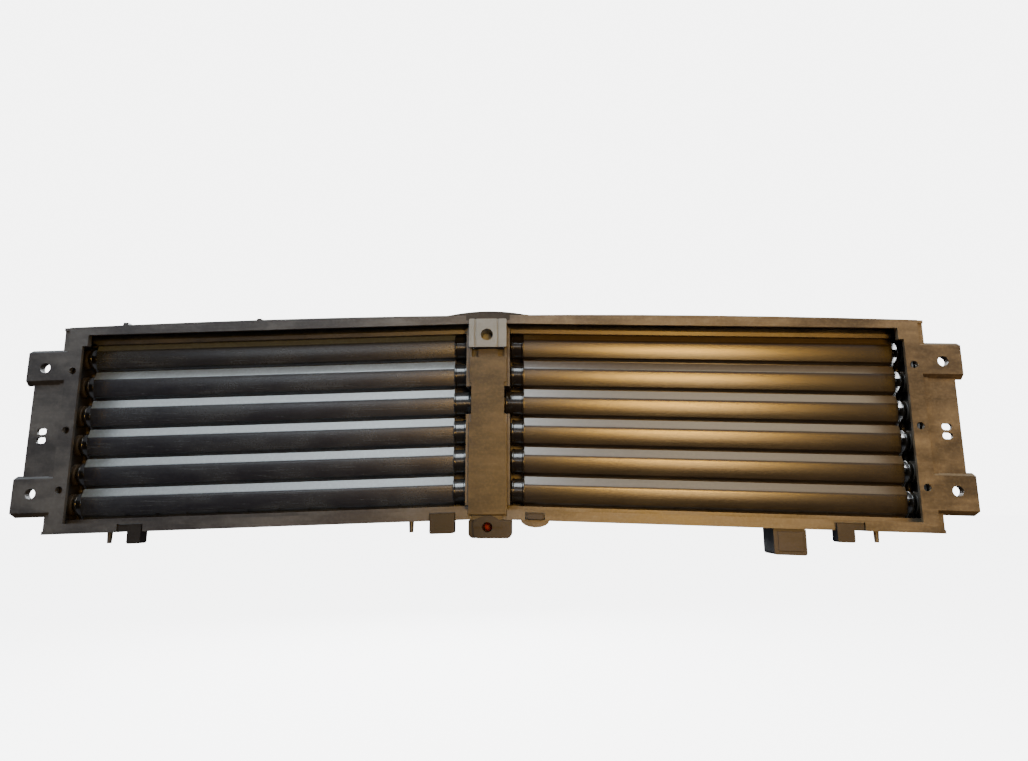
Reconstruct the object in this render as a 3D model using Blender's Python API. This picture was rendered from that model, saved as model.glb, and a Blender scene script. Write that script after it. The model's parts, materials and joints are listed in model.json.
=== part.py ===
"""Active grille shutter: a wide frame, two banks of six louvre vanes and a centre actuator post.

X runs along the width, the front faces -Y and Z is up. Every shape of a bank is drawn straight,
for the right-hand side, in the bank's own frame: x from the centre plane, y from the plane of the
vanes' upper lips, z from the height of the middle of the post. A shear then swings the bank's
outer end forward (sweep) and down (droop), and the left-hand bank is the mirror image.
"""
import math

import bmesh
import bpy
from mathutils import Matrix, Vector

# ---- driving dimensions, metres ----
SWEEP = math.tan(math.radians(2.3))
DROOP = math.tan(math.radians(1.86))
MODEL_CENTRE = Vector((0.0, -0.0055, -0.02764))

PITCH = 0.0268
STRIP_BASE = -0.0930
STRIP_TOP = 0.0672
ROWS = 6
TOP_ROW_Z = 0.0539
DRIVE_ROW = 3
AXIS_Y = 0.0050

FRONT_Y = -0.0250
REAR_Y = 0.0305
SKIN = 0.0030
FACE_OUT = 0.3773
WINDOW_OUT = 0.3645
RAIL_TOP = 0.0775
RAIL_ARCH = 0.0020
RAIL_TOP_LIP = 0.0700
RAIL_BASE = -0.1055
RAIL_BASE_LIP = -0.0968
BAFFLE_TOP = 0.0664
BAFFLE_BASE = -0.0936
CHANNEL_OUT = 0.3825
FLANGE_OUT = 0.4055
TAB_OUT = 0.4110

VANE_IN = 0.0320
VANE_OUT = 0.3655
DRUM_RADIUS = 0.0120
DRUM_IN = 0.0209
DRIVE_DRUM_IN = 0.0152
JOURNAL_IN = 0.0180
JOURNAL_RADIUS = 0.0030
BORE_RADIUS = 0.0031
DISC_IN = 0.3688
DISC_OUT = 0.3712
DISC_RADIUS = 0.0100
CRANK_Y = 0.0075
CRANK_Z = -0.0148
CRANK_PIN_RADIUS = 0.0020

LINK_IN = 0.3720
LINK_OUT = 0.3746
LINK_HALF = 0.0035

POST_HALF = 0.0172
POST_WALL = 0.0024
COVER_HALF = 0.0166
GAP = 0.0003

OUTPUT_TEETH = 48
SMALL_TEETH = 12
LARGE_TEETH = 52
FINE_MODULE = 0.0005
COARSE_MODULE = 0.0007

# ---- colours ----
BLACK_PLASTIC = (0.045, 0.044, 0.042, 1.0)
VANE_PLASTIC = (0.035, 0.036, 0.040, 1.0)
GREY_PLASTIC = (0.42, 0.46, 0.48, 1.0)
BROWN_BLACK = (0.075, 0.062, 0.045, 1.0)
NATURAL_PLASTIC = (0.70, 0.68, 0.62, 1.0)
STEEL = (0.55, 0.56, 0.58, 1.0)
BRASS = (0.72, 0.55, 0.25, 1.0)
BOARD_GREEN = (0.03, 0.20, 0.09, 1.0)


def row_z(row):
    return TOP_ROW_Z - PITCH * (row - 1)


def clear_scene():
    for item in list(bpy.data.objects):
        bpy.data.objects.remove(item, do_unlink=True)


def collection(name):
    made = bpy.data.collections.new(name)
    bpy.context.scene.collection.children.link(made)
    return made


def material(name, colour, roughness, metallic=0.0):
    made = bpy.data.materials.new(name)
    made.use_nodes = True
    shader = made.node_tree.nodes["Principled BSDF"]
    shader.inputs["Base Color"].default_value = colour
    shader.inputs["Roughness"].default_value = roughness
    shader.inputs["Metallic"].default_value = metallic
    made.diffuse_color = colour
    return made


# ---- shapes: each returns a bmesh ----
def block(x0, x1, y0, y1, z0, z1):
    shape = bmesh.new()
    size = Matrix.Diagonal((x1 - x0, y1 - y0, z1 - z0, 1.0))
    place = Matrix.Translation(((x0 + x1) / 2, (y0 + y1) / 2, (z0 + z1) / 2))
    bmesh.ops.create_cube(shape, size=1.0, matrix=place @ size)
    return shape


def rod(axis, radius, a0, a1, u, v, segments=24, end_radius=None):
    """A cylinder or cone from a0 to a1 along an axis; u and v are its other two coordinates."""
    shape = bmesh.new()
    turn = {"X": Matrix.Rotation(math.radians(90), 4, "Y"),
            "Y": Matrix.Rotation(math.radians(-90), 4, "X"),
            "Z": Matrix.Identity(4)}[axis]
    middle = (a0 + a1) / 2
    centre = {"X": (middle, u, v), "Y": (u, middle, v), "Z": (u, v, middle)}[axis]
    far = radius if end_radius is None else end_radius
    bmesh.ops.create_cone(shape, cap_ends=True, segments=segments, radius1=radius, radius2=far,
                          depth=a1 - a0, matrix=Matrix.Translation(centre) @ turn)
    return shape


def extruded(outline, axis, a0, a1):
    """A flat outline carried from a0 to a1. On axis X it holds (y, z), on axis Y (x, z)."""
    shape = bmesh.new()
    place = {"X": lambda u, v: (a0, u, v), "Y": lambda u, v: (u, a0, v)}[axis]
    face = shape.faces.new([shape.verts.new(place(u, v)) for u, v in outline])
    step = (a1 - a0, 0, 0) if axis == "X" else (0, a1 - a0, 0)
    grown = bmesh.ops.extrude_face_region(shape, geom=[face])
    moved = [item for item in grown["geom"] if isinstance(item, bmesh.types.BMVert)]
    bmesh.ops.translate(shape, verts=moved, vec=step)
    bmesh.ops.recalc_face_normals(shape, faces=shape.faces)
    return shape


def round_rect(x0, x1, z0, z1, radius, corners="abcd", steps=4):
    """Corner letters a, b, c, d name the lower left, lower right, upper right and upper left."""
    spots = {"a": (x0, z0, 180), "b": (x1, z0, 270), "c": (x1, z1, 0), "d": (x0, z1, 90)}
    outline = []
    for letter, (x, z, start) in spots.items():
        if letter not in corners:
            outline.append((x, z))
            continue
        cx = x + radius if letter in "ad" else x - radius
        cz = z + radius if letter in "ab" else z - radius
        for step in range(steps + 1):
            angle = math.radians(start + 90 * step / steps)
            outline.append((cx + radius * math.cos(angle), cz + radius * math.sin(angle)))
    return outline


def rounded_block(x0, x1, y0, y1, z0, z1, radius, corners="abcd"):
    return extruded(round_rect(x0, x1, z0, z1, radius, corners), "Y", y0, y1)


def gear(teeth, module, x0, x1, y, z, phase):
    """A spur gear on an X axis, with four points to a tooth."""
    pitch = module * teeth / 2
    outer = pitch + 0.85 * module
    root = pitch - 1.25 * module
    tip = 0.10
    foot = 0.29
    outline = []
    for tooth in range(teeth):
        for radius, share in ((root, -foot), (outer, -tip), (outer, tip), (root, foot)):
            angle = phase + (tooth + share) * math.tau / teeth
            outline.append((y + radius * math.cos(angle), z + radius * math.sin(angle)))
    return extruded(outline, "X", x0, x1)


def bank_shear(shape, side):
    """Swing a shape drawn for the right bank forward and down, and mirror it for the left."""
    bend = Matrix.Identity(4)
    bend[1][0] = -SWEEP
    bend[2][0] = -DROOP
    shape.transform(bend)
    if side < 0:
        mirror(shape)
    return shape


def mirror(shape):
    shape.transform(Matrix.Diagonal((-1.0, 1.0, 1.0, 1.0)))
    bmesh.ops.reverse_faces(shape, faces=shape.faces)
    return shape


# ---- objects ----
def mesh_from(shape, name):
    mesh = bpy.data.meshes.new(name)
    bmesh.ops.recalc_face_normals(shape, faces=shape.faces)
    shape.to_mesh(mesh)
    shape.free()
    return mesh


def add_node(name, mesh, finish):
    node = bpy.data.objects.new(name, mesh)
    node.parent = root
    mesh.materials.clear()
    mesh.materials.append(finish)
    parts.objects.link(node)
    return node


def tool_collection(name, shapes):
    group = bpy.data.collections.new(name)
    tools.children.link(group)
    for index, shape in enumerate(shapes):
        tool = bpy.data.objects.new(f"{name}_{index}", mesh_from(shape, f"{name}_{index}"))
        tool.parent = root
        tool.hide_render = True
        tool.display_type = "WIRE"
        group.objects.link(tool)
    return group


def carve(node, shapes, operation):
    if not shapes:
        return
    step = node.modifiers.new(operation.lower(), "BOOLEAN")
    step.operation = operation
    step.solver = "EXACT"
    step.operand_type = "COLLECTION"
    step.collection = tool_collection(f"{node.name}_{operation.lower()}", shapes)


def solid(name, shapes, finish, cuts=()):
    """One node: the first shape joined with the others, less the cuts."""
    node = add_node(name, mesh_from(shapes[0], name), finish)
    carve(node, shapes[1:], "UNION")
    carve(node, list(cuts), "DIFFERENCE")
    return node


def settled_mesh(node):
    """The node's mesh with its modifiers applied, for sharing between equal nodes."""
    graph = bpy.context.evaluated_depsgraph_get()
    mesh = bpy.data.meshes.new_from_object(node.evaluated_get(graph))
    bpy.data.objects.remove(node, do_unlink=True)
    return mesh


# ---- main frame ----
def arch(x, thickness=0.0):
    share = x / FACE_OUT
    return RAIL_TOP + 4 * RAIL_ARCH * share * (1 - share) - thickness


def arched_plate(x0, x1, y0, y1, z0=None, thickness=None, steps=6):
    top = [(x0 + (x1 - x0) * k / steps) for k in range(steps + 1)]
    upper = [(x, arch(x)) for x in top]
    lower = [(x0, z0), (x1, z0)] if z0 is not None else [(x, arch(x, thickness)) for x in top]
    return extruded(lower + upper[::-1], "Y", y0, y1)


def rails():
    inner = 0.0140
    floor = RAIL_BASE + SKIN
    return [
        arched_plate(inner, FACE_OUT, FRONT_Y, FRONT_Y + SKIN, z0=RAIL_TOP_LIP),
        arched_plate(inner, CHANNEL_OUT, FRONT_Y + 0.001, REAR_Y, thickness=0.0026),
        block(inner, FACE_OUT, -0.0010, 0.0014, 0.0680, 0.0765),
        block(0.0204, 0.3764, 0.0085, 0.0105, BAFFLE_TOP, 0.0765),
        block(POST_HALF - 0.0002, FACE_OUT, FRONT_Y, FRONT_Y + SKIN, RAIL_BASE, RAIL_BASE_LIP),
        block(inner, CHANNEL_OUT, FRONT_Y + 0.001, REAR_Y, RAIL_BASE, floor),
        block(inner, FACE_OUT, -0.0032, -0.0010, floor - 0.001, BAFFLE_BASE),
    ]


def side_channel():
    """The strip and channel at a bank's outer end, and the web behind its drums."""
    return [
        block(0.0160, 0.0400, 0.0215, 0.0235, RAIL_BASE + 0.001, 0.0765),
        block(WINDOW_OUT, FACE_OUT, FRONT_Y, FRONT_Y + SKIN, RAIL_BASE, 0.0770),
        block(0.3600, FACE_OUT, FRONT_Y, FRONT_Y + SKIN + 0.002, 0.0600, 0.0772),
        block(FACE_OUT - 0.001, CHANNEL_OUT, -0.0225, -0.0195, RAIL_BASE, 0.0772),
        block(0.3800, CHANNEL_OUT, -0.0220, REAR_Y, RAIL_BASE, 0.0772),
        block(0.3668, CHANNEL_OUT, 0.0280, REAR_Y, RAIL_BASE, 0.0772),
    ]


def tab(z0, z1):
    """A bolt tab that stands proud of the flange, with sloping upper and lower edges."""
    rise = 0.0030
    side = [(-0.0250, z0 + 0.0040), (-0.0250, z1 - rise), (-0.0200, z1),
            (-0.0190, z1), (-0.0190, z0), (-0.0210, z0)]
    return extruded(side, "X", FACE_OUT - 0.002, TAB_OUT)


def flange():
    root_x = FACE_OUT - 0.002
    low = [(root_x, -0.0900), (FLANGE_OUT, -0.0860), (FLANGE_OUT, 0.0500), (root_x, 0.0560)]
    return [extruded(low, "Y", -0.0215, -0.0185), tab(0.0255, 0.0580), tab(-0.0905, -0.0545)]


def side_holes():
    cuts = []
    for z in (0.0374, -0.0158, -0.0680):
        cuts.append(rod("Y", 0.0032, FRONT_Y - 0.002, -0.0200, 0.3709, z, 16))
    for z in (0.0408, -0.0703):
        cuts.append(rod("Y", 0.0045, -0.0290, -0.0150, 0.3953, z, 20))
    for z in (-0.0158, -0.0236):
        cuts.append(rounded_block(0.3899, 0.3982, -0.0290, -0.0150, z - 0.0028, z + 0.0028, 0.0024))
    trim = [(TAB_OUT - 0.0060, -0.0950), (TAB_OUT + 0.002, -0.0950), (TAB_OUT + 0.002, -0.0840)]
    cuts.append(extruded(trim, "Y", -0.0290, -0.0150))
    return cuts


def centre_post():
    top = 0.0760
    walls = []
    for side in (-1, 1):
        x0, x1 = sorted((side * POST_HALF, side * (POST_HALF - POST_WALL)))
        walls.append(block(x0, x1, -0.0220, REAR_Y, RAIL_BASE, top))
        x0, x1 = sorted((side * 0.0120, side * (POST_HALF - 0.001)))
        walls.append(block(x0, x1, 0.0285, REAR_Y, RAIL_BASE, top))
        x0, x1 = sorted((side * 0.0140, side * (POST_HALF - 0.001)))
        walls.append(block(x0, x1, -0.0140, -0.0120, 0.0380, 0.0570))
    half = POST_HALF - 0.001
    brow = [(-0.0460, 0.0745), (0.0460, 0.0745)]
    for step in range(9):
        share = 1 - step / 4
        brow.append((0.0460 * share, 0.0765 + 0.0042 * (1 - share * share)))
    return walls + [
        block(-half, half, -0.0220, REAR_Y, 0.0735, 0.0775),
        block(-half, half, -0.0140, -0.0045, 0.0235, 0.0390),
        block(-half, half, -0.0140, -0.0120, 0.0380, 0.0486),
        block(-half, half, -0.0140, -0.0045, -0.1030, -0.0905),
        block(-half, half, -0.0220, REAR_Y, RAIL_BASE - 0.0006, RAIL_BASE + 0.0030),
        extruded(brow, "Y", -0.0235, -0.0060),
    ]


def pegs_and_nubs():
    """Small locating pegs under the bottom rail and nubs on the top rail, as (side, x)."""
    shapes = []
    for side, x in ((-1, 0.3255), (-1, 0.0660), (1, 0.3275)):
        shapes.append(bank_shear(rod("Z", 0.0018, -0.1146, -0.1040, x, -0.0205, 12, 0.0023), side))
    for side, x in ((-1, 0.3288), (-1, 0.2085)):
        bump = [(x - 0.0030, 0.0770), (x + 0.0030, 0.0770),
                (x + 0.0018, 0.0812), (x - 0.0018, 0.0812)]
        shapes.append(bank_shear(extruded(bump, "Y", -0.0235, -0.0170), side))
    hump = [(0.0290, -0.1040)] + [(0.0415 - 0.0125 * math.cos(math.pi * k / 8),
                                   -0.1050 - 0.0064 * math.sin(math.pi * k / 8)) for k in range(9)]
    hump.append((0.0540, -0.1040))
    shapes.append(bank_shear(extruded(hump, "Y", -0.0245, -0.0150), 1))
    return shapes


CLIPS = {
    "clip_left_outer": (-1, 0.2960, 0.3180, 0.2924, 0.3081, -0.1155),
    "clip_left_inner": (-1, 0.0276, 0.0504, 0.0276, 0.0504, -0.1165),
    "clip_right_inner": (1, 0.0330, 0.0500, 0.0350, 0.0480, -0.1044),
    "clip_right_outer": (1, 0.2923, 0.3175, 0.2939, 0.3080, -0.1153),
}


def clip_pockets():
    cuts = []
    for side, x0, x1, _, _, base in CLIPS.values():
        pocket = block(x0, x1, FRONT_Y - 0.002, -0.0120, base - 0.0006, -0.0985)
        cuts.append(bank_shear(pocket, side))
    return cuts


def clip(name, finish):
    """A snap clip that fills a pocket of the bottom rail, with a tongue that hangs below it."""
    side, x0, x1, t0, t1, base = CLIPS[name]
    play = 0.0006
    tongue = (max(t0, x0 + play), min(t1, x1 - play))
    shapes = [
        block(x0 + play, x1 - play, -0.0238, -0.0130, max(base, -0.1050), -0.0992),
        rounded_block(*tongue, -0.0262, -0.0150, base, -0.1000, 0.0018, "ab"),
    ]
    return solid(name, [bank_shear(shape, side) for shape in shapes], finish)


def main_frame(finish):
    shapes = []
    cuts = clip_pockets()
    for side in (1, -1):
        for shape in rails() + side_channel() + flange():
            shapes.append(bank_shear(shape, side))
        for shape in side_holes():
            cuts.append(bank_shear(shape, side))
    clear = DRUM_RADIUS + 0.0006
    cuts.append(rod("X", clear, -0.03, 0.03, OUTPUT_Y, OUTPUT_Z, 24))
    for x0, x1 in ((-0.0185, -0.0140), (0.0140, 0.0185)):
        cuts.append(block(x0, x1, -0.0230, OUTPUT_Y, OUTPUT_Z - clear, OUTPUT_Z + clear))
    for z in (0.0320, -0.0960):
        cuts.append(rod("Y", 0.0020, -0.016, -0.002, 0.0, z, 12))
    return solid("main_frame", shapes + centre_post() + pegs_and_nubs(), finish, cuts)


# ---- centre post parts ----
def post_cover(finish):
    """The post's front cover: notched beside the drive row, stepped below it, with a tongue."""
    wide = COVER_HALF
    slim = 0.0148
    drive_z = row_z(DRIVE_ROW)
    right = [(wide, -0.1018), (wide, drive_z - 0.0210), (slim, drive_z - 0.0206),
             (slim, drive_z + 0.0151), (wide, drive_z + 0.0155), (wide, 0.0386)]
    left = [(-x, z) for x, z in right[::-1]]
    plate = extruded(right + left, "Y", -0.0250, -0.0223)
    step = [(-wide, -0.1012), (wide, -0.1012), (wide, -0.0425), (0.0060, -0.0414), (-0.0060, -0.0402),
            (-wide, -0.0397)]
    lower = extruded(step, "Y", -0.0264, -0.0240)
    tongue = block(-0.0086, 0.0090, -0.0236, -0.0223, 0.0370, 0.0460)
    return solid("post_cover", [plate, lower, tongue], finish)


def head_bracket(finish):
    half = 0.0170
    front = -0.0285
    shapes = [
        rounded_block(-half, half, front, -0.0262, 0.0470, 0.0733, 0.0012),
        block(-half, half, -0.0270, -0.0223, 0.0482, 0.0690),
        block(-0.0136, 0.0136, -0.0240, -0.0060, 0.0490, 0.0695),
    ]
    cuts = [rod("Y", 0.0055, -0.0300, -0.0100, -0.0008, 0.0585, 28)]
    for x0, x1 in ((-0.0121, -0.0103), (0.0084, 0.0100)):
        cuts.append(block(x0, x1, front - 0.001, front + 0.0016, 0.0450, 0.0750))
    return solid("head_bracket", shapes, finish, cuts)


def lower_foot(finish):
    arch_boss = []
    for step in range(11):
        angle = math.pi * step / 10
        arch_boss.append((0.0004 + 0.0125 * math.cos(angle), -0.1120 + 0.0098 * math.sin(angle)))
    shapes = [
        rounded_block(-0.0115, 0.0213, -0.0280, -0.0020, -0.1218, -0.1064, 0.0040, "ab"),
        rounded_block(-0.0165, -0.0100, -0.0230, -0.0020, -0.1218, -0.1064, 0.0045, "a"),
        extruded(arch_boss, "Y", -0.0290, -0.0268),
    ]
    cuts = [rod("Y", 0.0044, -0.0300, -0.0060, 0.0004, -0.1123, 24)]
    return solid("lower_foot", shapes, finish, cuts)


def locating_foot(finish):
    shape = rounded_block(0.2425, 0.2695, -0.0230, 0.0040, -0.1273, -0.1058, 0.0022, "ab")
    pocket = rounded_block(0.2449, 0.2671, -0.0206, 0.0050, -0.1249, -0.1040, 0.0015, "ab")
    return solid("locating_foot", [bank_shear(shape, 1)], finish, [bank_shear(pocket, 1)])


# ---- bearings, vanes and links ----
def bank_solid(name, shapes, cuts, side, finish):
    """A node of one bank: its shapes and cuts are sheared and mirrored into place."""
    for shape in shapes + cuts:
        bank_shear(shape, side)
    return solid(name, shapes, finish, cuts)


def outer_bearing_strip(name, side, finish):
    shapes = [block(0.3770, 0.3794, -0.0120, 0.0130, STRIP_BASE, STRIP_TOP)]
    cuts = []
    for row in range(1, ROWS + 1):
        shapes.append(rod("X", 0.0080, 0.3761, 0.3780, AXIS_Y, row_z(row), 14))
        cuts.append(rod("X", BORE_RADIUS + 0.0002, 0.3750, 0.3800, AXIS_Y, row_z(row), 12))
    return bank_solid(name, shapes, cuts, side, finish)


def inner_bearing_strip(name, side, finish):
    shapes = [block(0.0175, 0.0197, -0.0200, 0.0211, STRIP_BASE, STRIP_TOP)]
    cuts = []
    for row in range(1, ROWS + 1):
        radius, segments = BORE_RADIUS + 0.0002, 12
        if row == DRIVE_ROW:
            radius, segments = DRUM_RADIUS + 0.0006, 20
            low, high = row_z(row) - radius, row_z(row) + radius
            cuts.append(block(0.0160, 0.0220, -0.0230, AXIS_Y, low, high))
        cuts.append(rod("X", radius, 0.0160, 0.0220, AXIS_Y, row_z(row), segments))
    return bank_solid(name, shapes, cuts, side, finish)


def vane_section():
    """The louvre's section as (y, z) from its axis: a bevelled lip, a bowed face and a core."""
    face = [(-0.0080, 0.0070), (-0.0080, 0.0015), (-0.0073, -0.0040), (-0.0062, -0.0088)]
    lower_edge = [(-0.0022, -0.0120), (-0.0016, -0.0146), (-0.0002, -0.0146), (-0.0006, -0.0113)]
    core = [(-0.0046, -0.0076), (-0.0052, -0.0050), (-0.0010, -0.0036), (0.0024, -0.0016),
            (0.0024, 0.0016), (-0.0010, 0.0036), (-0.0061, 0.0048), (-0.0061, 0.0066)]
    return [(-0.0032, 0.0132), (-0.0050, 0.0132)] + face + lower_edge + core


def crank_arm():
    """The teardrop from the end disc to the crank pin, as an outline in (y, z)."""
    reach = math.hypot(CRANK_Y, CRANK_Z)
    heading = math.atan2(CRANK_Z, CRANK_Y)
    hub = 0.0070
    tip = 0.0034
    spread = math.acos((hub - tip) / reach)
    outline = []
    for step in range(5):
        angle = heading - spread + 2 * spread * step / 4
        outline.append((CRANK_Y + tip * math.cos(angle), CRANK_Z + tip * math.sin(angle)))
    for angle in (heading + spread, heading + math.pi, heading - spread):
        outline.append((hub * math.cos(angle), hub * math.sin(angle)))
    return outline


def vane_shapes(drive):
    """A louvre along its own axis: face, drum, end disc, crank, pins and journals."""
    drum_in = DRIVE_DRUM_IN if drive else DRUM_IN
    shapes = [
        extruded(vane_section(), "X", VANE_IN, VANE_OUT),
        rod("X", DRUM_RADIUS, drum_in, VANE_IN + 0.0006, 0, 0, 20),
        rod("X", 0.0040, VANE_OUT - 0.0010, DISC_IN + 0.0005, 0, 0, 8),
        rod("X", DISC_RADIUS, DISC_IN, DISC_OUT, 0, 0, 16),
        extruded(crank_arm(), "X", DISC_IN, DISC_OUT),
        rod("X", CRANK_PIN_RADIUS, DISC_IN + 0.001, 0.3752, CRANK_Y, CRANK_Z, 8),
        rod("X", JOURNAL_RADIUS, DISC_OUT - 0.0005, 0.3790, 0, 0, 12),
    ]
    cuts = []
    if drive:
        cuts.append(block(drum_in - 0.001, 0.0215, -0.0022, 0.0022, -0.0054, 0.0054))
        cuts.append(rod("X", 0.0074, drum_in - 0.001, 0.0174, 0, 0, 24))
    else:
        shapes.append(rod("X", JOURNAL_RADIUS, JOURNAL_IN, DRUM_IN + 0.0010, 0, 0, 12))
    return shapes, cuts


def axis_turn(side):
    """The rotation that lays a straight vane along its bank's axis."""
    along = Vector((1.0, -side * SWEEP, -side * DROOP)).normalized()
    across = Vector((0, 0, 1)).cross(along).normalized()
    upward = along.cross(across)
    return Matrix((along, across, upward)).transposed().to_4x4()


def vanes(finish):
    stretch = math.sqrt(1 + SWEEP ** 2 + DROOP ** 2)
    meshes = {}
    for side, hand in ((-1, "left"), (1, "right")):
        for drive in (False, True):
            shapes, cuts = vane_shapes(drive)
            for shape in shapes + cuts:
                shape.transform(Matrix.Diagonal((stretch, 1, 1, 1)))
                if side < 0:
                    mirror(shape)
            pattern = solid(f"vane_pattern_{hand}_{drive}", shapes, finish, cuts)
            meshes[hand, drive] = settled_mesh(pattern)
        for row in range(1, ROWS + 1):
            node = add_node(f"vane_{hand}_{row}", meshes[hand, row == DRIVE_ROW], finish)
            start = Vector((0, AXIS_Y, row_z(row)))
            node.matrix_basis = Matrix.Translation(start) @ axis_turn(side)


def link_bar(name, side, finish):
    y = AXIS_Y + CRANK_Y
    ends = [row_z(1) + CRANK_Z, row_z(ROWS) + CRANK_Z]
    shapes = [block(LINK_IN, LINK_OUT, y - LINK_HALF, y + LINK_HALF, ends[1], ends[0])]
    cuts = []
    for z in ends:
        shapes.append(rod("X", LINK_HALF, LINK_IN, LINK_OUT, y, z, 16))
    hole = CRANK_PIN_RADIUS + 0.0004
    for row in range(1, ROWS + 1):
        z = row_z(row) + CRANK_Z
        cuts.append(rod("X", hole, LINK_IN - 0.001, LINK_OUT + 0.001, y, z, 12))
    return bank_solid(name, shapes, cuts, side, finish)


# ---- actuator ----
COUPLING_X = 0.0190
OUTPUT_Y = AXIS_Y - SWEEP * COUPLING_X
OUTPUT_Z = row_z(DRIVE_ROW) - DROOP * COUPLING_X
COMPOUND_Z = OUTPUT_Z - COARSE_MODULE * (OUTPUT_TEETH + SMALL_TEETH) / 2
MOTOR_Z = COMPOUND_Z - FINE_MODULE * (LARGE_TEETH + SMALL_TEETH) / 2
CASE_X = (-0.0136, 0.0108)
CASE_Y = (-0.0170, 0.0270)
CASE_Z = (-0.0880, 0.0210)
CASE_WALL = 0.0016
LID_SCREWS = [(y, z) for y in (-0.0130, 0.0230) for z in (-0.0840, 0.0170)]


def actuator_housing(finish):
    """An open tray with a solid column in each corner for the lid screws and an ear at each end."""
    x0, x1 = CASE_X
    y0, y1 = CASE_Y
    z0, z1 = CASE_Z
    column = 0.0066
    floor = x0 + CASE_WALL
    shapes = [block(x0, x1, y0, y1, z0, z1)]
    for z_low, z_high in ((z1 - 0.0010, 0.0370), (-0.1010, z0 + 0.0010)):
        shapes.append(block(-0.0090, 0.0090, y0 + 0.0002, y0 + 0.0027, z_low, z_high))
    cuts = [
        block(floor, x1 + 0.001, y0 + CASE_WALL, y1 - CASE_WALL, z0 + column, z1 - column),
        block(floor, x1 + 0.001, y0 + column, y1 - column, z0 + CASE_WALL, z1 - CASE_WALL),
        rod("X", 0.0054, x0 - 0.001, x0 + 0.003, OUTPUT_Y, OUTPUT_Z, 20),
        block(-0.0078, 0.0078, 0.0200, 0.0300, -0.0773, -0.0567),
    ]
    for y, z in LID_SCREWS:
        cuts.append(rod("X", 0.0013, 0.0060, x1 + 0.001, y, z, 10))
    for z in (0.0320, -0.0960):
        cuts.append(rod("Y", 0.0021, y0 - 0.001, y0 + 0.004, 0.0, z, 12))
    return solid("actuator_housing", shapes, finish, cuts)


def actuator_lid(finish):
    x0 = CASE_X[1] + GAP
    x1 = x0 + 0.0016
    lid = block(x0, x1, CASE_Y[0], CASE_Y[1], CASE_Z[0], CASE_Z[1])
    cuts = [rod("X", 0.0054, x0 - 0.001, x1 + 0.001, OUTPUT_Y, OUTPUT_Z, 20)]
    for y, z in LID_SCREWS:
        cuts.append(rod("X", 0.0013, x0 - 0.001, x1 + 0.001, y, z, 10))
    return solid("actuator_lid", [lid], finish, cuts)


def screw(name, axis, head_radius, shank_radius, start, head, reach, u, v, finish):
    """A pan-head screw with a hexagonal socket; it points along the axis from its head at start."""
    heading = 1 if reach > 0 else -1
    neck = start + heading * head
    tip = neck + reach
    spans = [sorted((start, neck)), sorted((neck - heading * 0.0002, tip))]
    shapes = [
        rod(axis, head_radius, *spans[0], u, v, 16),
        rod(axis, shank_radius, *spans[1], u, v, 10),
    ]
    socket = sorted((start - heading * 0.001, start + heading * head * 0.55))
    return solid(name, shapes, finish, [rod(axis, head_radius * 0.5, *socket, u, v, 6)])


def gear_train(plastic, metal):
    hub = [rod("X", 0.0050, -0.0134, 0.0130, OUTPUT_Y, OUTPUT_Z, 20)]
    wheel = gear(OUTPUT_TEETH, COARSE_MODULE, -0.0090, -0.0045, OUTPUT_Y, OUTPUT_Z, 0.0)
    sockets = []
    for a, b in ((-0.0144, -0.0094), (0.0090, 0.0140)):
        sockets.append(rod("X", 0.0030, a, b, OUTPUT_Y, OUTPUT_Z, 6))
    solid("output_gear", [wheel] + hub, plastic, sockets)
    half_tooth = math.pi / SMALL_TEETH
    shapes = [
        gear(LARGE_TEETH, FINE_MODULE, 0.0035, 0.0070, OUTPUT_Y, COMPOUND_Z, 0.0),
        gear(SMALL_TEETH, COARSE_MODULE, -0.0095, -0.0040, OUTPUT_Y, COMPOUND_Z, half_tooth),
        rod("X", 0.0030, -0.0100, 0.0080, OUTPUT_Y, COMPOUND_Z, 16),
    ]
    bore = rod("X", 0.0016, -0.012, 0.010, OUTPUT_Y, COMPOUND_Z, 16)
    solid("compound_gear", shapes, plastic, [bore])
    axle = rod("X", 0.0015, -0.0117, 0.0108, OUTPUT_Y, COMPOUND_Z, 16)
    solid("compound_axle", [axle], metal)
    pinion = gear(SMALL_TEETH, FINE_MODULE, 0.0030, 0.0078, OUTPUT_Y, MOTOR_Z, half_tooth)
    solid("motor_pinion", [pinion], metal, [rod("X", 0.0011, 0.0, 0.010, OUTPUT_Y, MOTOR_Z, 12)])
    can = [
        rod("X", 0.0100, -0.0115, 0.0005, OUTPUT_Y, MOTOR_Z, 24),
        rod("X", 0.0034, -0.0010, 0.0020, OUTPUT_Y, MOTOR_Z, 16),
        rod("X", 0.0010, 0.0010, 0.0086, OUTPUT_Y, MOTOR_Z, 12),
    ]
    solid("motor", can, metal)


def drive_couplers(finish):
    """Short shafts from the output gear's hexagonal sockets to the slots of the two drive drums."""
    y0, y1 = OUTPUT_Y - 0.0016, OUTPUT_Y + 0.0016
    z0, z1 = OUTPUT_Z - 0.0044, OUTPUT_Z + 0.0044
    for side, hand in ((-1, "left"), (1, "right")):
        shapes = [
            rod("X", 0.0064, 0.0140, 0.0166, OUTPUT_Y, OUTPUT_Z, 20),
            rod("X", 0.0026, 0.0098, 0.0150, OUTPUT_Y, OUTPUT_Z, 6),
            block(0.0160, 0.0205, y0, y1, z0, z1),
        ]
        if side < 0:
            shapes = [mirror(shape) for shape in shapes]
        solid(f"drive_coupler_{hand}", shapes, finish)


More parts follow.
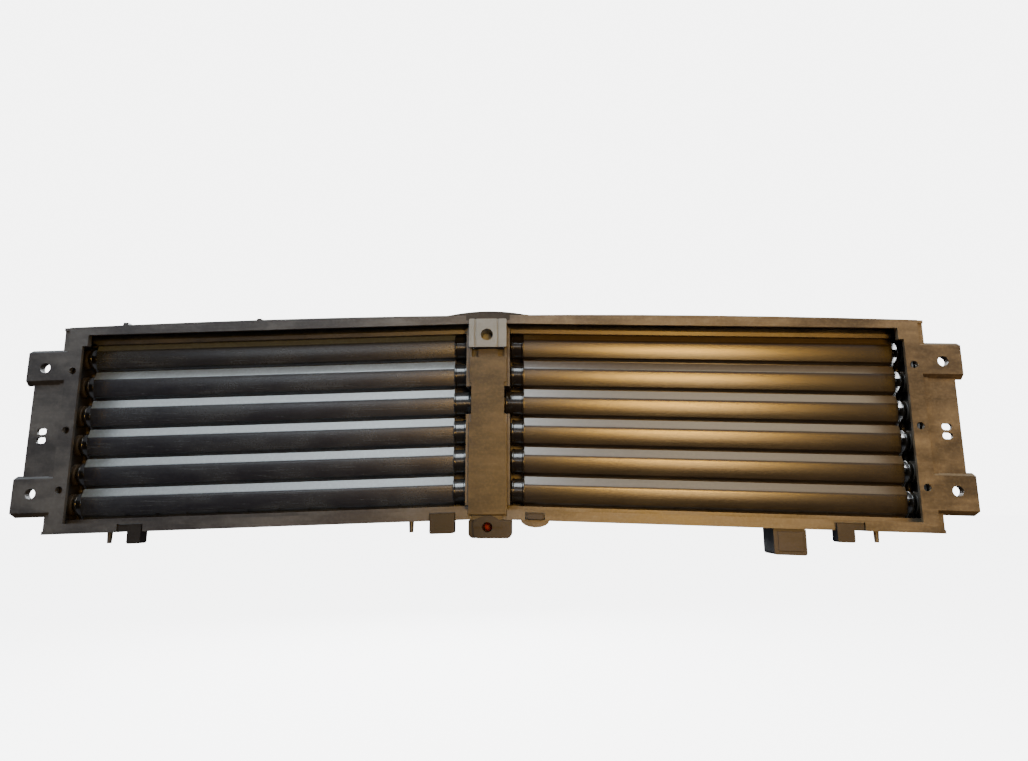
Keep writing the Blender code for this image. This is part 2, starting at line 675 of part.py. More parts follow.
def electronics(board_finish, socket_finish):
    board = block(0.0082, 0.0094, -0.0090, 0.0190, -0.0800, -0.0500)
    chips = [
        block(0.0070, 0.0084, -0.0050, 0.0030, -0.0760, -0.0680),
        block(0.0068, 0.0084, -0.0040, 0.0010, -0.0620, -0.0560),
    ]
    solid("circuit_board", [board] + chips, board_finish)
    x = 0.0074
    shell = block(-x, x, 0.0100, REAR_Y, -0.0769, -0.0571)
    mouth = block(-x + 0.0014, x - 0.0014, 0.0140, REAR_Y + 0.001, -0.0755, -0.0585)
    node = solid("connector_socket", [shell], socket_finish, [mouth])
    pins = []
    for z in (-0.0715, -0.0670, -0.0625):
        pins.append(block(-0.0007, 0.0007, 0.0130, 0.0240, z - 0.0007, z + 0.0007))
    carve(node, pins, "UNION")


def build():
    black = material("black_glass_filled_plastic", BLACK_PLASTIC, 0.5)
    louvre = material("vane_plastic", VANE_PLASTIC, 0.45)
    cover = material("cover_plastic", BROWN_BLACK, 0.5)
    grey = material("grey_bracket_plastic", GREY_PLASTIC, 0.45)
    natural = material("natural_acetal", NATURAL_PLASTIC, 0.4)
    steel = material("zinc_plated_steel", STEEL, 0.35, 1.0)
    brass = material("brass", BRASS, 0.3, 1.0)
    board = material("circuit_board_green", BOARD_GREEN, 0.4)

    main_frame(black)
    post_cover(cover)
    head_bracket(grey)
    lower_foot(cover)
    locating_foot(cover)
    for name in CLIPS:
        clip(name, cover)
    for side, hand in ((-1, "left"), (1, "right")):
        outer_bearing_strip(f"bearing_strip_{hand}_outer", side, natural)
        inner_bearing_strip(f"bearing_strip_{hand}_inner", side, black)
        link_bar(f"link_bar_{hand}", side, black)
    vanes(louvre)
    actuator_housing(black)
    actuator_lid(black)
    gear_train(natural, brass)
    drive_couplers(natural)
    electronics(board, black)
    for index, (y, z) in enumerate(LID_SCREWS, 1):
        screw(f"lid_screw_{index}", "X", 0.0021, 0.0010, 0.0141, 0.0011, -0.0060, y, z, steel)
    for index, z in enumerate((0.0320, -0.0960), 1):
        screw(f"mount_screw_{index}", "Y", 0.0034, 0.0017, -0.0195, 0.0022, 0.0110, 0.0, z, steel)


clear_scene()
parts = collection("active_grille_shutter")
tools = collection("cutters")
root = bpy.data.objects.new("shutter_origin", None)
root.location = -MODEL_CENTRE
parts.objects.link(root)
bpy.context.view_layer.update()
build()
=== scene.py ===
"""The looks of the active grille shutter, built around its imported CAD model.

The louvres are rebuilt with rounded sections, ribbed backs, turned drums and end discs, the frame gets
its ribs, beads and moulded details, and every part has a procedural plastic or metal. X runs along the
width, the front faces -Y and Z is up. A bank is drawn for the right-hand side along its own axis.
"""
import json
import math

import bmesh
import bpy
from mathutils import Matrix, Vector

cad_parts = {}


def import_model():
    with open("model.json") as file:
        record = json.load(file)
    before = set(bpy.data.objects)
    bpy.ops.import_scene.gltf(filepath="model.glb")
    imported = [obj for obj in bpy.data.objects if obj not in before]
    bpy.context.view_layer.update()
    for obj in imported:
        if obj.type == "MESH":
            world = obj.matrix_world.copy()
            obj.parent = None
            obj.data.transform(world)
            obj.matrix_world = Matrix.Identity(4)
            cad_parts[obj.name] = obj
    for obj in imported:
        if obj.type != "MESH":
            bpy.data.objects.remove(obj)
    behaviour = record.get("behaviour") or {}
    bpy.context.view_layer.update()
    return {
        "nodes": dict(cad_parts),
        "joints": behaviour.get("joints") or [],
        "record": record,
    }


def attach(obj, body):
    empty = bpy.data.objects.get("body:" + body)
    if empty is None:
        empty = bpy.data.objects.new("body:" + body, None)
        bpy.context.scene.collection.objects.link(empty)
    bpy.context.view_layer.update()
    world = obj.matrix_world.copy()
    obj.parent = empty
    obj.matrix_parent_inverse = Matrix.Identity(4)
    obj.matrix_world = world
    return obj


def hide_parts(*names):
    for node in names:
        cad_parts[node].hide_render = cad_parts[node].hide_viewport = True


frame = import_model()

NODES = frame["nodes"]
JOINTS = {joint["name"]: joint for joint in frame["joints"]}
HANDS = (("left", -1), ("right", 1))
ROWS = range(1, 7)
DRIVE_ROW = 3


# ---- where things are, from the frame ----
def hinge(side, row):
    """The joint that a louvre turns on."""
    hand = "left" if side < 0 else "right"
    return JOINTS[f"vane_{hand}_{row}_turn"]


def bank_axis(side):
    """The bank's louvre axis, pointing outward."""
    return Vector(hinge(side, 1)["axis"]).normalized() * side


def axis_start(side, row):
    """Where a louvre's axis meets the centre plane."""
    joint = hinge(side, row)
    axis = Vector(joint["axis"])
    place = Vector(joint["pos_m"])
    return place - axis * (place.x / axis.x)


def vane_place(side, row):
    """The matrix from a louvre's own frame (outward, back, up) to the row frame."""
    outward = bank_axis(side)
    across = Vector((0, 0, 1)).cross(outward * side).normalized()
    upward = (outward * side).cross(across)
    turn = Matrix((outward, across, upward)).transposed().to_4x4()
    return Matrix.Translation(axis_start(side, row)) @ turn


OUTWARD = bank_axis(1)
SWEEP = -OUTWARD.y / OUTWARD.x
DROOP = -OUTWARD.z / OUTWARD.x
AXIS_Y = axis_start(1, 1).y
AXIS_Z = {row: axis_start(1, row).z for row in ROWS}


def bank_shear(side):
    """Carries a shape drawn square for the right bank into the bank's sweep and droop."""
    bend = Matrix.Identity(4)
    bend[1][0] = -SWEEP
    bend[2][0] = -DROOP
    return Matrix.Diagonal((side, 1, 1, 1)) @ bend


# ---- shapes, each a bmesh ----
def extruded(outline, x0, x1):
    """A (y, z) outline carried along X."""
    shape = bmesh.new()
    face = shape.faces.new([shape.verts.new((x0, y, z)) for y, z in outline])
    grown = bmesh.ops.extrude_face_region(shape, geom=[face])
    moved = [item for item in grown["geom"] if isinstance(item, bmesh.types.BMVert)]
    bmesh.ops.translate(shape, verts=moved, vec=(x1 - x0, 0, 0))
    bmesh.ops.recalc_face_normals(shape, faces=shape.faces)
    return shape


def turned(profile, segments=40, centre=(0.0, 0.0)):
    """An (x, radius) profile turned about an X axis; it starts and ends on the axis."""
    shape = bmesh.new()
    rings = []
    for x, radius in profile:
        if radius == 0:
            rings.append([shape.verts.new((x, *centre))])
            continue
        ring = []
        for step in range(segments):
            angle = math.tau * step / segments
            ring.append(shape.verts.new((x, centre[0] + radius * math.cos(angle),
                                         centre[1] + radius * math.sin(angle))))
        rings.append(ring)
    for near, far in zip(rings, rings[1:]):
        for step in range(segments):
            after = (step + 1) % segments
            corners = [near[step % len(near)], near[after % len(near)],
                       far[after % len(far)], far[step % len(far)]]
            corners = list(dict.fromkeys(corners))
            shape.faces.new(corners)
    bmesh.ops.recalc_face_normals(shape, faces=shape.faces)
    return shape


def box(x0, x1, y0, y1, z0, z1):
    """A block between two corners."""
    shape = bmesh.new()
    size = Matrix.Diagonal((x1 - x0, y1 - y0, z1 - z0, 1.0))
    place = Matrix.Translation(((x0 + x1) / 2, (y0 + y1) / 2, (z0 + z1) / 2))
    bmesh.ops.create_cube(shape, size=1.0, matrix=place @ size)
    return shape


def add_shape(target, shape, slot=0):
    """Moves a shape's faces into another bmesh, with a material index."""
    for face in shape.faces:
        face.material_index = slot
    mesh = bpy.data.meshes.new("part")
    shape.to_mesh(mesh)
    shape.free()
    target.from_mesh(mesh)
    bpy.data.meshes.remove(mesh)


def round_edges(obj, width):
    """Rounds the sharp edges, as moulding or machining leaves them."""
    step = obj.modifiers.new("round_edges", "BEVEL")
    step.width = width
    step.segments = 3
    step.limit_method = "ANGLE"
    step.angle_limit = math.radians(30)
    step.use_clamp_overlap = True
    step.harden_normals = True


def smooth(mesh):
    """Smooth shading; the rounded edges keep flat faces flat."""
    for polygon in mesh.polygons:
        polygon.use_smooth = True


def piece(name, shapes, materials, body, matrix=None, edge=0.0003):
    """One shown piece from shapes or (shape, material index) pairs; it rides on a CAD body."""
    whole = bmesh.new()
    for entry in shapes:
        shape, slot = entry if isinstance(entry, tuple) else (entry, 0)
        add_shape(whole, shape, slot)
    if matrix is not None:
        whole.transform(matrix)
    bmesh.ops.recalc_face_normals(whole, faces=whole.faces)
    mesh = bpy.data.meshes.new(name)
    whole.to_mesh(mesh)
    whole.free()
    for item in materials:
        mesh.materials.append(item)
    smooth(mesh)
    obj = bpy.data.objects.new(name, mesh)
    bpy.context.scene.collection.objects.link(obj)
    if edge:
        round_edges(obj, edge)
    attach(obj, body)
    return obj


# ---- materials ----
def srgb(red, green, blue):
    """A screen colour, 0 to 255 in each channel, as linear RGBA."""
    def linear(value):
        value /= 255
        return value / 12.92 if value <= 0.04045 else ((value + 0.055) / 1.055) ** 2.4
    return (linear(red), linear(green), linear(blue), 1.0)


class Nodes:
    """A short way to write a material's node tree."""

    def __init__(self, name):
        self.material = bpy.data.materials.new(name)
        self.material.use_nodes = True
        self.tree = self.material.node_tree
        self.shader = self.tree.nodes["Principled BSDF"]
        self.coords = self.tree.nodes.new("ShaderNodeTexCoord")

    def link(self, start, end):
        self.tree.links.new(start, end)

    def noise(self, scale, detail=4.0, stretch=None, roughness=0.55):
        made = self.tree.nodes.new("ShaderNodeTexNoise")
        made.inputs["Scale"].default_value = scale
        made.inputs["Detail"].default_value = detail
        made.inputs["Roughness"].default_value = roughness
        source = self.coords.outputs["Object"]
        if stretch:
            mapping = self.tree.nodes.new("ShaderNodeMapping")
            mapping.inputs["Scale"].default_value = stretch
            self.link(source, mapping.inputs["Vector"])
            source = mapping.outputs["Vector"]
        self.link(source, made.inputs["Vector"])
        return made.outputs["Fac"]

    def ramp(self, value, low, high, start=0.0, end=1.0):
        made = self.tree.nodes.new("ShaderNodeMapRange")
        made.interpolation_type = "SMOOTHSTEP"
        made.inputs["From Min"].default_value = low
        made.inputs["From Max"].default_value = high
        made.inputs["To Min"].default_value = start
        made.inputs["To Max"].default_value = end
        self.link(value, made.inputs["Value"])
        return made.outputs["Result"]

    def combine(self, operation, first, second):
        made = self.tree.nodes.new("ShaderNodeMath")
        made.operation = operation
        made.use_clamp = True
        for socket, value in zip(made.inputs, (first, second)):
            if isinstance(value, (int, float)):
                socket.default_value = value
            else:
                self.link(value, socket)
        return made.outputs["Value"]

    def mix(self, factor, first, second):
        made = self.tree.nodes.new("ShaderNodeMix")
        made.data_type = "RGBA"
        sockets = (made.inputs[0], made.inputs[6], made.inputs[7])
        for socket, value in zip(sockets, (factor, first, second)):
            if isinstance(value, (int, float, tuple)):
                socket.default_value = value
            else:
                self.link(value, socket)
        return made.outputs[2]

    def along(self, output, axis):
        """One axis of a texture coordinate."""
        made = self.tree.nodes.new("ShaderNodeSeparateXYZ")
        self.link(self.coords.outputs[output], made.inputs[0])
        return made.outputs[axis]

    def bump(self, height, distance, strength, after=None):
        made = self.tree.nodes.new("ShaderNodeBump")
        made.inputs["Distance"].default_value = distance
        made.inputs["Strength"].default_value = strength
        self.link(height, made.inputs["Height"])
        if after:
            self.link(after, made.inputs["Normal"])
        return made.outputs["Normal"]


def dusty_plastic_with_painted_light(name, cool, warm, dust_with_cool_reflection, dust_with_warm_reflection, roughness=0.42, film=0.4, top_dust_and_highlight=0.6,
                  scuffs=0.35, specular=0.5):
    """Moulded black plastic with mottled dust and a painted reflection in its colours.

    cool and warm are the body colours of the left and right halves, and the pale dust colours also
    change from left to right: painted reflection of the cool and warm lamps. film is the share of
    mottled dust, bloom the share of pale colour on faces that look up, partly settled dust and partly
    a painted highlight, and scuffs the strength of the fine scratches along the part.
    """
    n = Nodes(name)
    # Painted reflection: this runs from the left half to the right half and blends the cool colours into
    # the warm ones.
    side = n.ramp(n.along("Object", "X"), low=-0.02, high=0.06)
    cloud = n.ramp(n.noise(scale=22.0, detail=5.0, stretch=(1.0, 2.0, 2.6)), low=0.35, high=0.72)
    speck = n.ramp(n.noise(scale=420.0, detail=3.0), low=0.40, high=0.72)
    lines = n.noise(scale=60.0, detail=6.0, stretch=(0.30, 9.0, 9.0), roughness=0.7)
    streak = n.ramp(lines, low=0.52, high=0.74)
    blotch = n.combine("ADD", n.combine("MULTIPLY", cloud, 0.75), n.combine("MULTIPLY", speck, 0.25))
    # Faces that look up turn pale: partly settled dust and partly a painted highlight of the light above.
    up = n.ramp(n.along("Normal", "Z"), low=0.12, high=0.75)
    grainy = n.ramp(speck, low=0.0, high=1.0, start=0.78, end=1.0)
    top_dust_and_highlight_mask = n.combine("MULTIPLY", up, n.combine("MULTIPLY", grainy, top_dust_and_highlight))
    dust_and_highlight_mask = n.combine("MAXIMUM", n.combine("MULTIPLY", blotch, film), top_dust_and_highlight_mask)
    scratch = n.combine("MULTIPLY", streak, scuffs * 0.35)
    # Painted reflection: the body and dust colours turn from cool on the left half to warm on the right
    # half.
    body = n.mix(side, cool, warm)
    dust_colour_with_reflection = n.mix(side, dust_with_cool_reflection, dust_with_warm_reflection)
    n.link(n.mix(n.combine("ADD", dust_and_highlight_mask, scratch), body, dust_colour_with_reflection), n.shader.inputs["Base Color"])
    rough = n.ramp(dust_and_highlight_mask, low=0.0, high=1.0, start=roughness, end=min(1.0, roughness + 0.25))
    n.link(rough, n.shader.inputs["Roughness"])
    n.shader.inputs["Specular IOR Level"].default_value = specular
    grain = n.bump(n.noise(scale=1500.0, detail=2.0), distance=0.00005, strength=0.5)
    scored = n.bump(streak, distance=0.00003, strength=scuffs, after=grain)
    n.link(scored, n.shader.inputs["Normal"])
    return n.material


def darker(colour, share):
    """A colour with its three channels scaled by share."""
    return tuple(channel * share for channel in colour[:3]) + (1.0,)


def plain_plastic(name, colour, roughness, variation=0.12):
    """Moulded plastic in one colour, faintly mottled and grained."""
    n = Nodes(name)
    mottled = n.ramp(n.noise(scale=160.0, detail=5.0), low=0.35, high=0.70)
    n.link(n.mix(mottled, darker(colour, 1 - variation * 2), colour), n.shader.inputs["Base Color"])
    rough = n.ramp(mottled, low=0.0, high=1.0, start=roughness, end=roughness + 0.12)
    n.link(rough, n.shader.inputs["Roughness"])
    grain = n.bump(n.noise(scale=2400.0, detail=2.0), distance=0.00004, strength=0.4)
    n.link(grain, n.shader.inputs["Normal"])
    return n.material


def metal(name, colour, roughness):
    """Lightly brushed metal."""
    n = Nodes(name)
    brushed = n.noise(scale=900.0, detail=3.0, stretch=(0.2, 1.0, 1.0))
    tone = n.ramp(brushed, low=0.3, high=0.7)
    n.link(n.mix(tone, darker(colour, 0.8), colour), n.shader.inputs["Base Color"])
    rough = n.ramp(brushed, low=0.3, high=0.7, start=roughness, end=roughness + 0.15)
    n.link(rough, n.shader.inputs["Roughness"])
    n.shader.inputs["Metallic"].default_value = 1.0
    n.link(n.bump(brushed, distance=0.00003, strength=0.4), n.shader.inputs["Normal"])
    return n.material


# Painted reflection: the cool colours tint the left half and the warm colours the right half, and the
# pale dust on faces that look up is partly a painted highlight.
VANE = dusty_plastic_with_painted_light("vane_plastic", cool=srgb(22, 24, 33), warm=srgb(30, 24, 16),
                     dust_with_cool_reflection=srgb(126, 139, 147), dust_with_warm_reflection=srgb(112, 97, 70),
                     roughness=0.26, film=0.09, top_dust_and_highlight=0.90, scuffs=0.26, specular=0.9)
DRUM = dusty_plastic_with_painted_light("drum_plastic", cool=srgb(20, 20, 21), warm=srgb(26, 22, 17),
                     dust_with_cool_reflection=srgb(90, 92, 92), dust_with_warm_reflection=srgb(80, 70, 54),
                     roughness=0.18, film=0.06, top_dust_and_highlight=0.15, scuffs=0.06, specular=0.9)
FRAME_PLASTIC = dusty_plastic_with_painted_light("frame_plastic", cool=srgb(37, 38, 42), warm=srgb(54, 47, 38),
                              dust_with_cool_reflection=srgb(86, 89, 92), dust_with_warm_reflection=srgb(138, 123, 99),
                              roughness=0.38, film=0.55, top_dust_and_highlight=0.5, scuffs=0.4, specular=0.6)
COVER = dusty_plastic_with_painted_light("cover_plastic", cool=srgb(30, 25, 17), warm=srgb(34, 28, 18),
                      dust_with_cool_reflection=srgb(100, 84, 54), dust_with_warm_reflection=srgb(106, 88, 56),
                      roughness=0.42, film=0.70, top_dust_and_highlight=0.4, scuffs=0.5)
FITTING = dusty_plastic_with_painted_light("fitting_plastic", cool=srgb(18, 17, 18), warm=srgb(34, 32, 34),
                        dust_with_cool_reflection=srgb(34, 31, 30), dust_with_warm_reflection=srgb(82, 77, 78),
                        roughness=0.45, film=0.40, top_dust_and_highlight=0.4, scuffs=0.3, specular=0.4)
BRACKET = dusty_plastic_with_painted_light("bracket_plastic", cool=srgb(108, 114, 118), warm=srgb(108, 114, 118),
                        dust_with_cool_reflection=srgb(142, 147, 148), dust_with_warm_reflection=srgb(142, 147, 148),
                        roughness=0.40, film=0.4, top_dust_and_highlight=0.5, scuffs=0.25)
BROW = plain_plastic("brow_plastic", srgb(22, 19, 16), roughness=0.6)
STRIP = plain_plastic("bearing_plastic", srgb(40, 38, 36), roughness=0.4)
LINK = plain_plastic("link_plastic", srgb(34, 32, 31), roughness=0.35)
ACETAL = plain_plastic("gear_acetal", srgb(222, 216, 200), roughness=0.35, variation=0.04)
# Acetal coloured dark brown-grey, for the bearing hoods and the pin heads.
ACETAL_DARK = plain_plastic("dark_acetal", srgb(62, 58, 52), roughness=0.35)
ACTUATOR = plain_plastic("actuator_plastic", srgb(36, 36, 38), roughness=0.5)
CONNECTOR = plain_plastic("connector_plastic", srgb(40, 40, 42), roughness=0.4)
BOARD = plain_plastic("circuit_board", srgb(24, 92, 56), roughness=0.25)
PLUG_RED = plain_plastic("plug_red", srgb(170, 52, 36), roughness=0.4)
STEEL = metal("zinc_steel", srgb(196, 198, 200), roughness=0.28)
MOTOR_STEEL = metal("motor_steel", srgb(186, 188, 192), roughness=0.34)
BRASS = metal("turned_brass", srgb(214, 176, 96), roughness=0.22)

FINISHES = {
    "frame_plastic": FRAME_PLASTIC, "vane_plastic": VANE, "cover_plastic": COVER,
    "bracket_plastic": BRACKET, "bearing_plastic": STRIP, "link_plastic": LINK, "gear_acetal": ACETAL,
    "actuator_plastic": ACTUATOR, "connector_plastic": CONNECTOR, "motor_steel": MOTOR_STEEL,
    "steel": STEEL, "brass": BRASS, "circuit_board": BOARD,
}
FINE_EDGE = 0.0003
CLIP_EDGE = 0.0006
EDGES = {"main_frame": 0.0006, "post_cover": 0.0005, "head_bracket": 0.0004, "lower_foot": 0.0006,
         "locating_foot": 0.0008}


def finish_cad_nodes():
    """Gives every CAD node its slot's material and soft moulded edges."""
    for part in frame["record"]["subparts"]:
        node = NODES[part["node"]]
        node.data.materials.clear()
        clip = node.name.startswith("clip")
        fitting = clip or node.name.endswith("foot")
        finish = FITTING if fitting else FINISHES[part["material_slot"]]
        node.data.materials.append(finish)
        smooth(node.data)
        round_edges(node, CLIP_EDGE if clip else EDGES.get(node.name, FINE_EDGE))


# ---- louvres ----
# Places along a louvre's own axis, outward from the centre plane
DRIVE_DRUM_IN = 0.0152
BORE_STEP = 0.0174
JOURNAL_IN = 0.0181
BORE_END = 0.0208
DRUM_IN = 0.0209
VANE_IN = 0.0320
VANE_OUT = 0.3658
DISC_IN = 0.3692
DISC_OUT = 0.3716
PIN_OUT = 0.3756
JOURNAL_OUT = 0.3793

# Radii about that axis
DRUM_RADIUS = 0.0120
DISC_RADIUS = 0.0100
COUNTERBORE = 0.0074
CRANK_HUB = 0.0070
BORE = 0.0052
STUB_RADIUS = 0.0040
JOURNAL_RADIUS = 0.0030
CORE_RADIUS = 0.0024

# The crank pin's place, behind and below the axis, the radius of the arm's tip, and the pin's radius
CRANK = (0.0075, -0.0148)
CRANK_TIP = 0.0034
PIN_RADIUS = 0.0020

# The chamfer of the turned shapes, and the louvre's bowed face and back ribs
CHAMFER = 0.0004
FACE_FRONT = -0.0082
FACE_TOP = 0.0058
FACE_HEIGHT = 0.0156
FACE_BOW = 0.0020
FACE_STEPS = 7
VANE_RIB_HALF = 0.0006
VANE_BAYS = 9


def vane_section():
    """The louvre's (y, z) section: a bevelled upper strip, a bowed face and a lower lip."""
    crest = [(-0.0032, 0.0134), (-0.0048, 0.0134), (-0.0074, 0.0074), (-0.0079, 0.0064),
             (FACE_FRONT, 0.0054)]
    face = []
    for step in range(1, FACE_STEPS + 1):
        share = step / FACE_STEPS
        face.append((FACE_FRONT + FACE_BOW * share ** 2.2, FACE_TOP - FACE_HEIGHT * share))
    lip = [(-0.0022, -0.0120), (-0.0016, -0.0146), (-0.0002, -0.0146), (-0.0006, -0.0113)]
    back = [(-0.0046, -0.0076), (-0.0052, -0.0050), (-0.0010, -0.0036)]
    core = []
    for degrees in range(-60, 61, 30):
        angle = math.radians(degrees)
        core.append((CORE_RADIUS * math.cos(angle), CORE_RADIUS * math.sin(angle)))
    upper = [(-0.0010, 0.0036), (-0.0061, 0.0040), (-0.0061, 0.0062)]
    return crest + face + lip + back + core + upper


def vane_ribs():
    """Thin ribs across the louvre's back."""
    outline = [(-0.0052, 0.0100), (-0.0012, 0.0040), (0.0016, 0.0014), (0.0016, -0.0014),
               (-0.0012, -0.0044), (-0.0040, -0.0094), (-0.0060, -0.0070), (-0.0066, 0.0060)]
    ribs = []
    for bay in range(1, VANE_BAYS):
        x = VANE_IN + (VANE_OUT - VANE_IN) / VANE_BAYS * bay
        ribs.append(extruded(outline, x - VANE_RIB_HALF, x + VANE_RIB_HALF))
    return ribs


def drum(drive):
    """The turned drum beside the post, with a rolled rim at each end; a drive drum has a stepped bore."""
    inner = DRIVE_DRUM_IN if drive else DRUM_IN
    outer = VANE_IN + 0.0006
    waist = DRUM_RADIUS - 0.0006
    profile = [(inner, 0)]
    if drive:
        profile = [(BORE_END, 0), (BORE_END, BORE), (BORE_STEP, BORE), (BORE_STEP, COUNTERBORE),
                   (inner, COUNTERBORE)]
    profile += [(inner, DRUM_RADIUS - 0.0007), (inner + CHAMFER, DRUM_RADIUS),
                (inner + 0.0016, DRUM_RADIUS), (inner + 0.0020, waist), (outer - 0.0018, waist),
                (outer - 0.0014, DRUM_RADIUS), (outer - CHAMFER, DRUM_RADIUS), (outer, waist),
                (outer, 0)]
    return turned(profile, segments=56)


def inner_journal():
    """The journal that runs in the strip beside the post."""
    root = DRUM_IN + 0.0010
    return turned([(JOURNAL_IN, 0), (JOURNAL_IN, JOURNAL_RADIUS - CHAMFER),
                   (JOURNAL_IN + CHAMFER, JOURNAL_RADIUS), (root, JOURNAL_RADIUS), (root, 0)],
                  segments=24)


def end_disc():
    """The disc at the louvre's outer end, dished, with a stub and its journal."""
    root = VANE_OUT - 0.0008
    dish = DISC_OUT - 0.0006
    return turned([(root, 0), (root, STUB_RADIUS), (DISC_IN - CHAMFER, STUB_RADIUS), (DISC_IN, 0.0060),
                   (DISC_IN, DISC_RADIUS - CHAMFER), (DISC_IN + CHAMFER, DISC_RADIUS),
                   (DISC_OUT - CHAMFER, DISC_RADIUS), (DISC_OUT, DISC_RADIUS - CHAMFER),
                   (DISC_OUT, 0.0084), (dish, 0.0080), (dish, 0.0048), (DISC_OUT, 0.0044),
                   (DISC_OUT, JOURNAL_RADIUS), (JOURNAL_OUT - CHAMFER, JOURNAL_RADIUS),
                   (JOURNAL_OUT, JOURNAL_RADIUS - CHAMFER), (JOURNAL_OUT, 0)])


def arc(centre, radius, start, sweep, steps):
    """Points on an arc, both ends included."""
    points = []
    for step in range(steps + 1):
        angle = start + sweep * step / steps
        points.append((centre[0] + radius * math.cos(angle), centre[1] + radius * math.sin(angle)))
    return points


def crank_arm():
    """The teardrop arm from the end disc to the crank pin."""
    heading = math.atan2(CRANK[1], CRANK[0])
    spread = math.acos((CRANK_HUB - CRANK_TIP) / math.hypot(*CRANK))
    tip = arc(CRANK, CRANK_TIP, heading - spread, 2 * spread, 12)
    hub = arc((0.0, 0.0), CRANK_HUB, heading + spread, math.tau - 2 * spread, 16)
    return extruded(tip + hub, DISC_IN + 0.0002, DISC_OUT - 0.0002)


def crank_pin():
    """The pin on the crank arm, which runs in the link bar."""
    root = DISC_IN + 0.0010
    return turned([(root, 0), (root, PIN_RADIUS), (PIN_OUT - CHAMFER, PIN_RADIUS),
                   (PIN_OUT, PIN_RADIUS - CHAMFER), (PIN_OUT, 0)], segments=20, centre=CRANK)


def louvre(hand, side, row):
    """One louvre, shown in place of its CAD node."""
    node = f"vane_{hand}_{row}"
    drive = row == DRIVE_ROW
    shapes = [(extruded(vane_section(), VANE_IN, VANE_OUT), 0), (drum(drive), 1), (end_disc(), 1),
              (crank_arm(), 1), (crank_pin(), 1)]
    shapes += [(rib, 0) for rib in vane_ribs()]
    if not drive:
        shapes.append((inner_journal(), 1))
    obj = piece(f"{node}_louvre", shapes, [VANE, DRUM], node, vane_place(side, row), edge=0.00035)
    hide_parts(node)


# ---- camera, stage and lights ----
# How brightly the camera sees the backdrop and the floor
BACKDROP = 6.0
FLOOR_GLOW = BACKDROP * 0.9
FLOOR_Z = -0.45
FLOOR_SIZE = 30.0


def camera():
    """The photo's view: low, slightly right of the middle, looking up at the front."""
    eye = Vector((0.0397, -0.6287, -0.0679))
    pitch = math.radians(10.42)
    yaw = math.radians(1.51)
    roll = math.radians(-0.14)
    data = bpy.data.cameras.new("camera")
    data.sensor_fit = "HORIZONTAL"
    data.sensor_width = 36.0
    data.lens = 24.16
    data.clip_start = 0.01
    data.clip_end = 60.0
    made = bpy.data.objects.new("camera", data)
    turn = Matrix.Rotation(yaw, 4, "Z") @ Matrix.Rotation(math.pi / 2 + pitch, 4, "X")
    made.matrix_world = Matrix.Translation(eye) @ turn @ Matrix.Rotation(roll, 4, "Z")
    bpy.context.scene.collection.objects.link(made)
    bpy.context.scene.camera = made


def stage():
    """A pale floor that glows for the camera only, so that it stays as pale as the backdrop."""
    shape = bmesh.new()
    bmesh.ops.create_grid(shape, x_segments=2, y_segments=2, size=FLOOR_SIZE)
    shape.transform(Matrix.Translation((0, 0, FLOOR_Z)))
    mesh = bpy.data.meshes.new("floor")
    shape.to_mesh(mesh)
    shape.free()
    floor = bpy.data.objects.new("floor", mesh)
    bpy.context.scene.collection.objects.link(floor)
    floor.visible_diffuse = False
    floor.visible_glossy = False
    n = Nodes("floor_paper")
    n.shader.inputs["Base Color"].default_value = (0.85, 0.85, 0.85, 1.0)
    n.shader.inputs["Roughness"].default_value = 0.9
    n.shader.inputs["Emission Color"].default_value = (1.0, 1.0, 1.0, 1.0)
    n.shader.inputs["Emission Strength"].default_value = FLOOR_GLOW
    mesh.materials.append(n.material)


def world():
    """A soft grey room, darker below, which the camera sees as a pale backdrop."""
    made = bpy.data.worlds.new("studio")
    bpy.context.scene.world = made
    made.use_nodes = True
    tree = made.node_tree
    background = tree.nodes["Background"]
    path = tree.nodes.new("ShaderNodeLightPath")
    mix = tree.nodes.new("ShaderNodeMix")
    mix.data_type = "RGBA"
    sky = tree.nodes.new("ShaderNodeSeparateXYZ")
    coords = tree.nodes.new("ShaderNodeTexCoord")
    height = tree.nodes.new("ShaderNodeMapRange")
    height.interpolation_type = "SMOOTHSTEP"
    height.inputs["From Min"].default_value = -0.35
    height.inputs["From Max"].default_value = 0.60
    room = tree.nodes.new("ShaderNodeMix")
    room.data_type = "RGBA"
    room.inputs[6].default_value = (0.045, 0.046, 0.055, 1.0)
    room.inputs[7].default_value = (0.40, 0.42, 0.46, 1.0)
    tree.links.new(coords.outputs["Generated"], sky.inputs[0])
    tree.links.new(sky.outputs["Z"], height.inputs["Value"])
    tree.links.new(height.outputs["Result"], room.inputs[0])
    tree.links.new(room.outputs[2], mix.inputs[6])
    mix.inputs[7].default_value = (BACKDROP, BACKDROP, BACKDROP, 1.0)
    tree.links.new(path.outputs["Is Camera Ray"], mix.inputs[0])
    tree.links.new(mix.outputs[2], background.inputs["Color"])
    background.inputs["Strength"].default_value = 1.0


def softbox(name, place, target, size, power, colour):
    """A rectangular area light that faces its target."""
    data = bpy.data.lights.new(name, "AREA")
    data.shape = "RECTANGLE"
    data.size, data.size_y = size
    data.energy = power
    data.color = colour
    made = bpy.data.objects.new(name, data)
    made.location = place
    heading = Vector(target) - Vector(place)
    made.rotation_mode = "QUATERNION"
    made.rotation_quaternion = heading.to_track_quat("-Z", "Y")
    bpy.context.scene.collection.objects.link(made)


